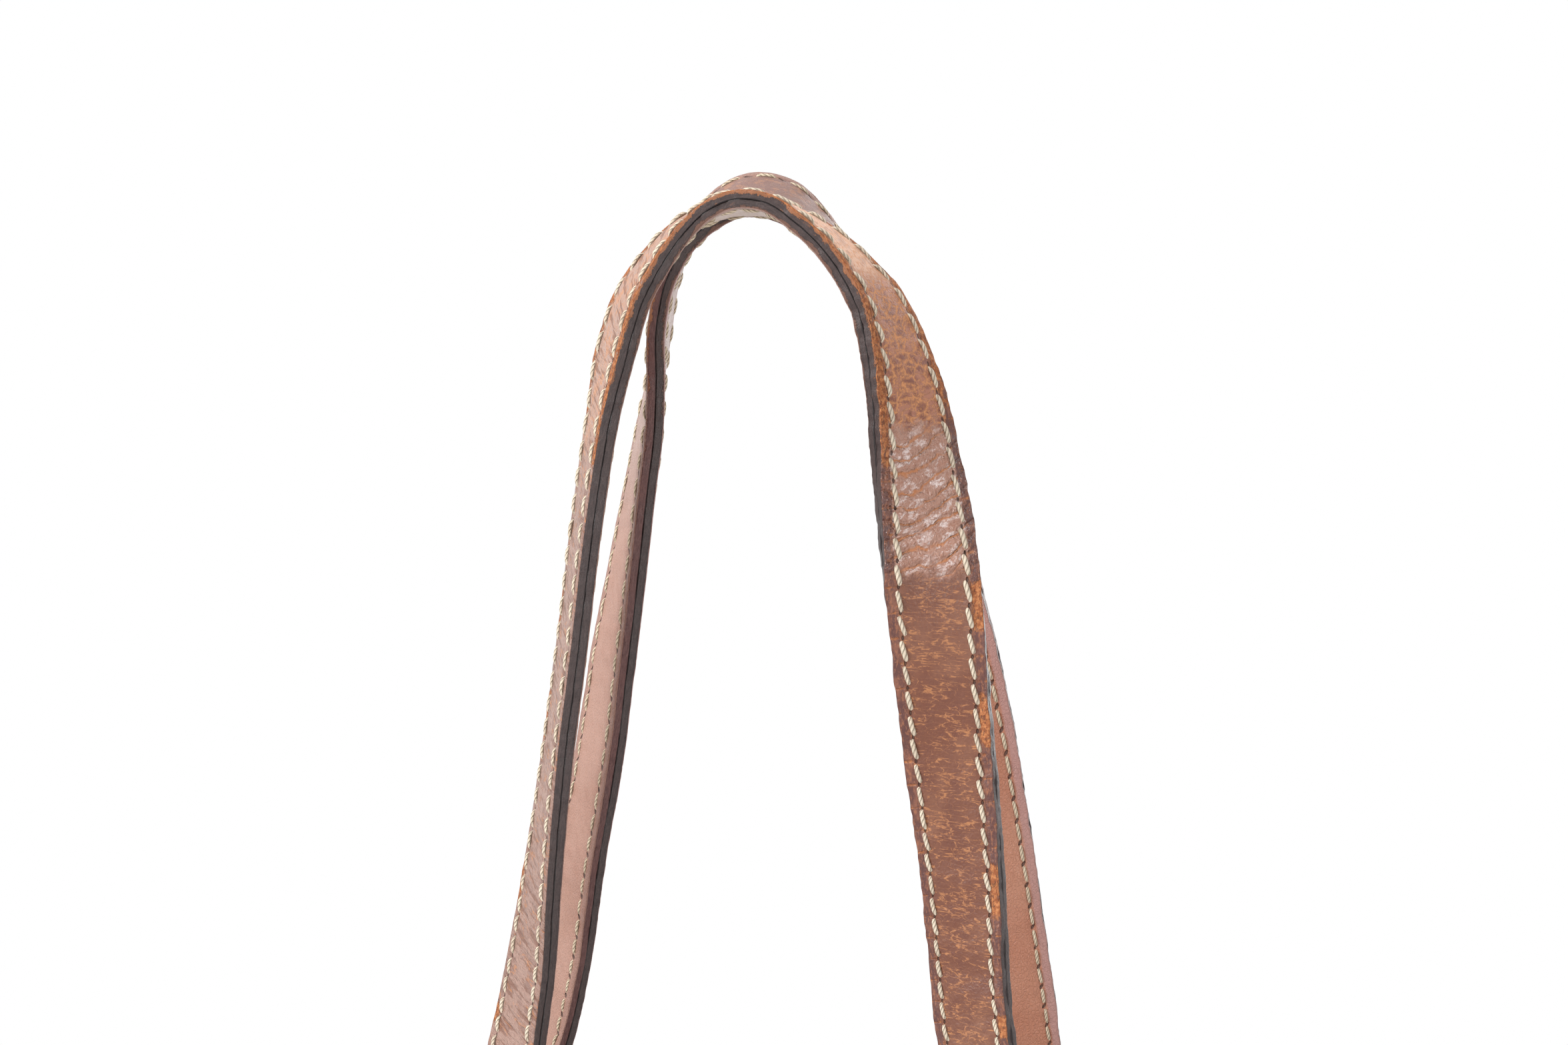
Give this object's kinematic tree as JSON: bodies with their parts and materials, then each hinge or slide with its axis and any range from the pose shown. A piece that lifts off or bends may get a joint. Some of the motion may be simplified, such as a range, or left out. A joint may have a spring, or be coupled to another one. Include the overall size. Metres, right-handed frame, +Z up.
{
  "type": "tote bag",
  "caption": "Open leather tote bag with a flat base, inward-folding side gussets, an inside slip pocket and long flat double-layer shoulder handles hung from rings.",
  "frame": {"origin": "middle of the base, on the surface the bag stands on", "axes": "+Z up, -Y the front panel's side, X across the bag's width"},
  "size_m": [0.3536, 0.13, 0.613],
  "materials": {
    "brown_leather": "worn semi-gloss",
    "tan_leather": "smooth matte",
    "dark_board": "matte",
    "brass": "worn satin"
  },
  "bodies": {
    "bag": {"front_panel": "brown_leather", "rear_panel": "brown_leather", "base_panel": "brown_leather", "base_board": "dark_board", "left_gusset": "brown_leather", "right_gusset": "brown_leather", "front_facing": "tan_leather", "rear_facing": "tan_leather", "slip_pocket": "tan_leather", "snap_socket": "brass", "snap_stud": "brass", "front_chape_left": "brown_leather", "front_chape_right": "brown_leather", "rear_chape_left": "brown_leather", "rear_chape_right": "brown_leather"},
    "front_rings": {"front_ring_left": "brass", "front_ring_right": "brass"},
    "front_handle": {"front_handle_outer_layer": "brown_leather", "front_handle_inner_layer": "tan_leather"},
    "rear_rings": {"rear_ring_left": "brass", "rear_ring_right": "brass"},
    "rear_handle": {"rear_handle_outer_layer": "brown_leather", "rear_handle_inner_layer": "tan_leather"}
  },
  "joints": [
    {"name": "front_rings_swing", "type": "hinge", "parent": "bag", "child": "front_rings", "pos_m": [0, -0.04128, 0.2935], "axis": [1, 0, 0], "range_deg": [0, 110]},
    {"name": "front_handle_swing", "type": "hinge", "parent": "front_rings", "child": "front_handle", "pos_m": [0, -0.0356, 0.311], "axis": [1, 0, 0], "range_deg": [0, 60]},
    {"name": "rear_rings_swing", "type": "hinge", "parent": "bag", "child": "rear_rings", "pos_m": [0, 0.04128, 0.2935], "axis": [-1, 0, 0], "range_deg": [0, 110]},
    {"name": "rear_handle_swing", "type": "hinge", "parent": "rear_rings", "child": "rear_handle", "pos_m": [0, 0.0356, 0.311], "axis": [-1, 0, 0], "range_deg": [0, 60]}
  ]
}
